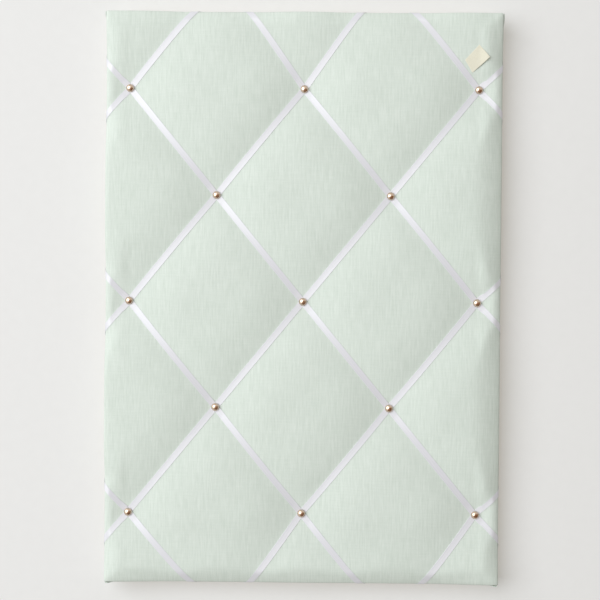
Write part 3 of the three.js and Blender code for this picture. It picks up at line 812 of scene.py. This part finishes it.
def nail_profile():
    """Hollow domed cap with a rounded rim, on a pointed shank. The rim lies at y 0."""
    turn = np.linspace(0, math.pi / 2, DOME_STEPS + 1)
    dome = [(NAIL_RADIUS * math.sin(t), -NAIL_RISE * math.cos(t)) for t in turn]
    lip = [tuple(p) for p in arc((NAIL_RADIUS - NAIL_WALL / 2, 0), NAIL_WALL / 2, *LIP_TURN, LIP_STEPS)]
    inner_radius = NAIL_RADIUS - NAIL_WALL
    inner_turn = np.linspace(math.pi / 2, math.asin(NAIL_SHANK / inner_radius), DOME_STEPS // 2)
    inside = [(inner_radius * math.sin(t), -(NAIL_RISE - NAIL_WALL) * math.cos(t)) for t in inner_turn[1:]]
    shank = [(NAIL_SHANK, NAIL_LENGTH - NAIL_POINT), (NAIL_SHANK / 2, NAIL_LENGTH - NAIL_POINT / 2)]
    return dome + lip + inside + shank + [(0, NAIL_LENGTH)]


def make_nails():
    """A nail at every crossing, each driven in by hand and so a little askew."""
    points, faces = lathe(nail_profile(), NAIL_SIDES)
    chance = np.random.default_rng(NAIL_SEED)
    for number in range(1, NAIL_COUNT + 1):
        node = f"nail_{number}"
        rim = middle(node)
        rim.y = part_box(node)[0].y + NAIL_RISE
        lean_x, spin, lean_z = np.radians(chance.uniform(-1, 1, 3) * [NAIL_LEAN, 180, NAIL_LEAN])
        lean = Matrix.Rotation(lean_x, 3, "X") @ Matrix.Rotation(lean_z, 3, "Z")
        turned = lean @ Matrix.Rotation(spin, 3, "Y")
        placed = points @ np.array(turned).T + np.array(rim)
        nail = add_piece(f"domed_{node}", placed, faces, BRONZE, sharp=HARD_EDGE)
        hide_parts(node)


LABEL_THICKNESS = 0.5 * MM
# Corners of the label as distances (out from the ribbon's middle line, up the ribbon from the corner nail):
# it is sewn down a little askew, and its sewn end is drawn together
LABEL_SEWN_END = np.array([(6.2, 20), (8.4, 36.5)]) * MM
LABEL_FREE_END = np.array([(31.6, 21), (31.4, 39.6)]) * MM
LABEL_LIFT = 2.4 * MM  # of its lower free corner
LABEL_CURL_OUT = 0.7  # powers of how the lift grows towards that corner
LABEL_CURL_DOWN = 1.5
LABEL_CURL_TOP = 1.1  # share of the label's width over which it stands off
LABEL_STEPS = 18


def make_label():
    """A folded cloth tag, sewn down beside the ribbon, whose lower edge stands off the linen."""
    ways = np.array([(PITCH_Z, PITCH_X), (-PITCH_X, PITCH_Z)]) / LATTICE_STEP  # outwards, up the ribbon
    steps = np.linspace(0, 1, LABEL_STEPS + 1)
    share_out, share_up = [share[..., None] for share in np.meshgrid(steps, steps)]
    place = blend(blend(*LABEL_SEWN_END, share_up), blend(*LABEL_FREE_END, share_up), share_out)
    x, z = np.moveaxis((LABEL_NAIL.x, LABEL_NAIL.z) + place @ ways, -1, 0)
    low = np.clip(LABEL_CURL_TOP - share_up, 0, None)
    lift = LABEL_LIFT * (share_out ** LABEL_CURL_OUT * low ** LABEL_CURL_DOWN)[..., 0]
    profile = edge_profile(RIBBON_FOOT, RIBBON_FOOT)
    run, out = (line[:SLOPE_STEPS + 1] for line in profile[:2])
    past = np.interp(np.abs(x) - FACE_HALF_WIDTH, out, run)
    y = surface_y(x, z, past, RIBBON_FOOT, profile) - lift
    points = np.stack([x, y, z], -1).reshape(-1, 3)
    flat = place.reshape(-1, 2)
    label = add_piece("cloth_label", points, quads(*x.shape)[:, ::-1], TAPE, flat=flat)
    clean_solid(label)
    thicken(label, LABEL_THICKNESS, 1)
    ease_edges(label, LABEL_THICKNESS / 3)
    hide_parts("woven_label")
    return label


CARD_EASE = 0.3 * MM


def dress_core_and_card():
    """The solids of the core and the card keep their shapes and get their own surfaces."""
    for node, material in (("softboard_core", SOFTBOARD), ("backing_card", CARD)):
        piece = frame["nodes"][node]
        piece.data.materials.clear()
        piece.data.materials.append(material)
    ease_edges(frame["nodes"]["backing_card"], CARD_EASE)


STAPLE_CROWN = 10 * MM
STAPLE_LEG = 5 * MM
STAPLE_BEND = 0.8 * MM
STAPLE_HALF_THICK = 0.28 * MM
STAPLE_HALF_WIDE = 0.5 * MM
STAPLE_INSET = 6 * MM
STAPLE_SPACING = 88 * MM
STAPLE_ASKEW = 5  # degrees, the usual spread
STAPLE_SEED = 5
STAPLE_BEND_STEPS = 5
STAPLE_SIDES = 8


def staple_path():
    """Middle line of a staple: along its crown and down both legs, as (along, out) pairs."""
    half = STAPLE_CROWN / 2
    right = arc((half - STAPLE_BEND, -STAPLE_BEND), STAPLE_BEND, 0, 90, STAPLE_BEND_STEPS)
    left = arc((STAPLE_BEND - half, -STAPLE_BEND), STAPLE_BEND, 90, 180, STAPLE_BEND_STEPS)
    return np.concatenate([[(half, -STAPLE_LEG)], right, left, [(-half, -STAPLE_LEG)]])


def make_staples():
    """Staples round the rim of the backing card, each pressed down onto it and a little askew."""
    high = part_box("backing_card")[1]
    half = np.array([high.x - STAPLE_INSET, high.z - STAPLE_INSET])
    chance = np.random.default_rng(STAPLE_SEED)
    path = staple_path()
    points = []
    faces = []
    for side in range(4):  # top, right, bottom, left
        long_way, short_way = (0, 1) if side % 2 == 0 else (1, 0)
        count = round(2 * half[long_way] / STAPLE_SPACING)
        for k in range(count):
            place = np.zeros(2)
            place[long_way] = half[long_way] * (2 * (k + 0.5) / count - 1)
            place[short_way] = half[short_way] * (1 if side < 2 else -1)
            askew = math.radians(90 * long_way + chance.normal(0, STAPLE_ASKEW))
            along = np.array([math.cos(askew), 0, math.sin(askew)])
            plane = np.array([-along[2], 0, along[0]])
            crown_y = high.y + STAPLE_HALF_THICK
            line = np.array([place[0], crown_y, place[1]]) + path[:, :1] * along + path[:, 1:] * [0, 1, 0]
            wire_points, wire_faces = wire(line, plane, STAPLE_HALF_THICK, STAPLE_HALF_WIDE, STAPLE_SIDES)
            first = sum(map(len, points))
            points.append(wire_points)
            faces += [[first + corner for corner in face] for face in wire_faces]
    staples = add_piece("card_staples", np.concatenate(points), faces, ZINC, sharp=HARD_EDGE)
    clean_solid(staples)


WIRE_RADIUS = 1 * MM
RING_HALF = 8 * MM
RING_CORNER = 2 * MM
RING_LEG = 4 * MM
RING_SPLIT = 0.4 * MM
RING_SIDES = 20
RING_BAR_STEPS = 4
RING_CORNER_STEPS = 8
RING_BOW_STEPS = 40
STRAP_WIDTH = 10 * MM
STRAP_THICKNESS = 0.8 * MM
STRAP_EASE = 0.15 * MM
STRAP_LINES = 5  # across it, and along its straight part
STRAP_END_TURNS = np.radians(np.arange(8, 91, 8.2))  # of its round end, from near the tip to the full width
EYE_RADIUS = 1.35 * MM
EYE_TURN = (-90, 215)  # degrees round the ring's bar
EYE_STEPS = 28
SCREW_RADIUS = 3 * MM
SCREW_RISE = 1.8 * MM
SCREW_SHANK = 1.4 * MM
SCREW_LENGTH = 12 * MM
SCREW_POINT = 3.5 * MM
SCREW_DOME_STEPS = 8
SCREW_SIDES = 32
SCREW_HARD_EDGE = 40
RECESS = (0.9 * MM, 3.4 * MM, 1.1 * MM)  # width, span and depth of the cross


def ring_path():
    """Middle line of the D-ring's wire, from one side of its split round to the other, as (x, z) pairs."""
    straight = RING_HALF - RING_CORNER
    bar_shares = np.linspace(RING_SPLIT / 2 / straight, 1, RING_BAR_STEPS + 1)
    right_bar = [(share * straight, 0) for share in bar_shares[:-1]]
    right = arc((straight, -RING_CORNER), RING_CORNER, 90, 0, RING_CORNER_STEPS)
    bow = arc((0, -RING_LEG), RING_HALF, 0, -180, RING_BOW_STEPS)
    left = arc((-straight, -RING_CORNER), RING_CORNER, 180, 90, RING_CORNER_STEPS)
    left_bar = [(-x, z) for x, z in right_bar[::-1]]
    return np.concatenate([right_bar, right, bow, left, left_bar])


def strap_strip(pivot, end_z):
    """A strip of sheet steel from its round end up the card and round the ring's bar: points and faces."""
    middle_radius = EYE_RADIUS + STRAP_THICKNESS / 2
    half = STRAP_WIDTH / 2
    round_end = [(end_z - half * math.cos(turn), half * math.sin(turn)) for turn in STRAP_END_TURNS]
    rows = [(-middle_radius, z, wide) for z, wide in round_end]
    rows += [(-middle_radius, z, half) for z in np.linspace(round_end[-1][0], 0, STRAP_LINES)[1:]]
    rows += [(y, z, half) for z, y in arc((0, 0), middle_radius, *EYE_TURN, EYE_STEPS)[1:]]
    y, z, wide = np.array(rows).T[..., None]
    shares = np.linspace(-1, 1, STRAP_LINES)
    points = np.stack(np.broadcast_arrays(wide * shares, y, z), -1).reshape(-1, 3)
    return points + np.array(pivot), quads(len(rows), STRAP_LINES)


def screw_profile():
    """Domed head on a pointed shank, as (radius, y) pairs. The head's seat lies at y 0."""
    turn = np.linspace(math.pi / 2, 0, SCREW_DOME_STEPS + 1)
    head = [(SCREW_RADIUS * math.cos(t), SCREW_RISE * math.sin(t)) for t in turn]
    shank = [(SCREW_SHANK, 0), (SCREW_SHANK, SCREW_POINT - SCREW_LENGTH), (0, -SCREW_LENGTH)]
    return [(0, SCREW_RISE)] + head[1:] + shank


def cut_cross(piece, place):
    """Presses the cross recess into a screw head."""
    cutter = bpy.data.meshes.new("cross recess")
    shape = bmesh.new()
    width, span, depth = RECESS
    for size in ((width, 2 * depth, span), (span, 2 * depth, width)):
        bmesh.ops.create_cube(shape, size=1, matrix=Matrix.LocRotScale(place, None, Vector(size)))
    shape.to_mesh(cutter)
    shape.free()
    tool = new_object("cross recess", cutter)
    cut = piece.modifiers.new("cross recess", "BOOLEAN")
    cut.object = tool
    cut.use_self = True
    cut_piece = piece.evaluated_get(bpy.context.evaluated_depsgraph_get())
    cut_mesh = bpy.data.meshes.new_from_object(cut_piece)
    piece.modifiers.clear()
    piece.data = cut_mesh
    bpy.data.objects.remove(tool)


def make_hangers():
    """On each side a ring that swings on its joint, the strap folded round its bar, and the strap's screw."""
    path = ring_path()
    for side in ("left", "right"):
        joint = next(j for j in frame["joints"] if j["child"] == f"ring_{side}")
        pivot = Vector(joint["pos_m"])
        line = np.array(pivot) + np.insert(path, 1, 0, axis=1)
        points, faces = wire(line, (0, 1, 0), WIRE_RADIUS, WIRE_RADIUS, RING_SIDES)
        body = f"ring_{side}"
        ring = add_piece(f"d_ring_{side}", points, faces, NICKEL, body=body, sharp=HARD_EDGE)
        clean_solid(ring)
        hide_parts(f"hanger_ring_{side}")

        strap_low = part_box(f"hanger_strap_{side}")[0]
        points, faces = strap_strip(pivot, strap_low.z - pivot.z + STRAP_WIDTH / 2)
        strap = add_piece(f"folded_strap_{side}", points, faces, NICKEL, sharp=HARD_EDGE)
        thicken(strap, STRAP_THICKNESS, 0)
        ease_edges(strap, STRAP_EASE)
        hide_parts(f"hanger_strap_{side}")

        screw_node = f"hanger_screw_{side}"
        seat = middle(screw_node)
        seat.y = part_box(screw_node)[1].y - SCREW_RISE
        points, faces = lathe(screw_profile(), SCREW_SIDES)
        screw = add_piece(f"pan_screw_{side}", points + np.array(seat), faces, NICKEL)
        clean_solid(screw)
        cut_cross(screw, seat + Vector((0, SCREW_RISE, 0)))
        screw.data.set_sharp_from_angle(angle=math.radians(SCREW_HARD_EDGE))
        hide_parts(screw_node)


swell_pads()
cover = make_cover()
corner_folds = make_corner_folds()
make_wadding()
make_ribbons()
make_nails()
label = make_label()
dress_core_and_card()
make_staples()
make_hangers()


# Stage: a pale wall that shows only from the front, a floor, and a brown curtain that the nails mirror

WALL_GAP = 9 * MM
WALL_SIZE = 6.0
FLOOR_DROP = 0.5
FLOOR_MIDDLE = 1.0
FLOOR_DEPTH = 4.0
CURTAIN_MIDDLE = (0.7, -1.93, -2.3)
CURTAIN_ACROSS = (5.0, 3.33, 0)
CURTAIN_UP = (2.6, 0, 6.2)
CURTAIN_PILE = 30 * MM
CURTAIN_RELIEF = 1 * MM


def hide_from(thing, *rays):
    """Leaves a thing out for these kinds of ray."""
    for ray in rays:
        setattr(thing, "visible_" + ray, False)


def plane(name, centre, across, up, material):
    """A flat panel of the stage."""
    centre, across, up = Vector(centre), Vector(across) / 2, Vector(up) / 2
    corners = [centre - across - up, centre + across - up, centre + across + up, centre - across + up]
    panel = new_object(name, new_mesh(name, corners, [(0, 1, 2, 3)]))
    panel.data.materials.append(material)
    return panel


def wall_paint():
    """Matt emulsion, clear from behind. It glows with light from round the room, which keeps shadows pale."""
    plaster = 12 * MM
    glow = {"Emission Strength": 0.25, "Emission Color": "#fffbf3"}
    material, tree, shader, _ = mottled(
        "wall_paint", {"Roughness": 1.0, "Specular IOR Level": 0.0, **glow}, plaster, ("#c2c3c5", "#c6c7c9"),
        Detail=3)
    behind = add(tree, "NewGeometry", out="Backfacing")
    clear = add(tree, "BsdfTransparent")
    one_sided = add(tree, "MixShader", {0: behind, 1: shader.outputs[0], 2: clear})
    feed(tree, tree.nodes["Material Output"], {"Surface": one_sided})
    return material


def floor_paint():
    """Rolled floor paint: pale and matt, a little uneven."""
    speckle = 20 * MM
    return mottled(
        "floor_paint", {"Roughness": 0.9, "Specular IOR Level": 0.2}, speckle, ("#e2e1de", "#e8e7e4"),
        Detail=2)[0]


def make_stage():
    """The wall lies behind the board, and the curtain hangs before it, below and to the right."""
    back_y = cad_box[1].y + WALL_GAP
    floor_z = cad_box[0].z - FLOOR_DROP
    level = (WALL_SIZE, 0, 0)
    wall = plane("wall", (0, back_y, 0), level, (0, 0, WALL_SIZE), wall_paint())
    hide_from(wall, "glossy", "transmission", "shadow")
    floor = plane("floor", (0, FLOOR_MIDDLE, floor_z), level, (0, FLOOR_DEPTH, 0), floor_paint())
    hide_from(floor, "diffuse", "glossy")  # no glare from below
    pile = soft_fibre("brown_curtain", CURTAIN_PILE, ("#946c4e", "#aa805f"), CURTAIN_RELIEF)
    curtain = plane("brown_curtain", CURTAIN_MIDDLE, CURTAIN_ACROSS, CURTAIN_UP, pile)
    hide_from(curtain, "camera", "diffuse", "transmission", "shadow")


WINDOW = {"place": (-2.4, -3.64, 1.09), "size": (4.6, 4.2), "power": 222, "colour": (0.965, 0.985, 1.0)}
BACK_LAMP = {"place": (0, 2.4, 0.6), "size": (1.8, 1.8), "power": 36, "colour": (1.0, 0.99, 0.97)}
ROOM_FILL = 0.33  # strength of the room's own light
ROOM_SEEN = 0.8  # and of the room where it is seen or mirrored


def lamp(name, place, size, power, colour):
    """A soft light that faces the board's middle and isn't seen itself."""
    data = bpy.data.lights.new(name, "AREA")
    data.shape = "RECTANGLE"
    data.size, data.size_y = size
    data.energy = power
    data.color = colour
    light = new_object(name, data)
    light.location = place
    light.rotation_euler = (Vector() - Vector(place)).to_track_quat("-Z", "Y").to_euler()
    hide_from(light, "camera")
    return light


def make_lights():
    """A wide window light from the left and above, a fill from all round, and a lamp for the back."""
    lamp("window", **WINDOW)
    hide_from(lamp("back_softbox", **BACK_LAMP), "glossy")
    world = bpy.data.worlds.new("room")
    bpy.context.scene.world = world
    world.use_nodes = True
    tree = world.node_tree
    path = add(tree, "LightPath").node.outputs
    seen = path["Is Camera Ray"]
    for ray in ("Is Glossy Ray", "Is Transmission Ray"):
        seen = add(tree, "Math", {0: seen, 1: path[ray]}, operation="MAXIMUM")
    strength = add(tree, "MapRange", {"Value": seen, "To Min": ROOM_FILL, "To Max": ROOM_SEEN})
    feed(tree, tree.nodes["Background"], {"Color": "#fff9ee", "Strength": strength})


CAMERA_LENS = 85
CAMERA_DISTANCE = 1.615
CAMERA_AZIMUTH = 0.61  # degrees, as are the next two
CAMERA_ELEVATION = 1.04
CAMERA_ROLL = 0.44
CAMERA_AIM = Vector((-3.2 * MM, -14 * MM, -1.5 * MM))


def make_camera():
    """The photograph's view: almost straight on, from a little above and to the right."""
    azimuth, elevation, roll = map(math.radians, (CAMERA_AZIMUTH, CAMERA_ELEVATION, CAMERA_ROLL))
    back = Vector((math.sin(azimuth), -math.cos(azimuth), math.tan(elevation))).normalized()
    data = bpy.data.cameras.new("camera")
    data.lens = CAMERA_LENS
    camera = new_object("camera", data)
    turn = back.to_track_quat("Z", "Y").to_matrix().to_4x4() @ Matrix.Rotation(roll, 4, "Z")
    camera.matrix_world = Matrix.Translation(CAMERA_AIM + back * CAMERA_DISTANCE) @ turn
    bpy.context.scene.camera = camera


make_stage()
make_lights()
make_camera()
bpy.context.scene.view_settings.view_transform = "Standard"
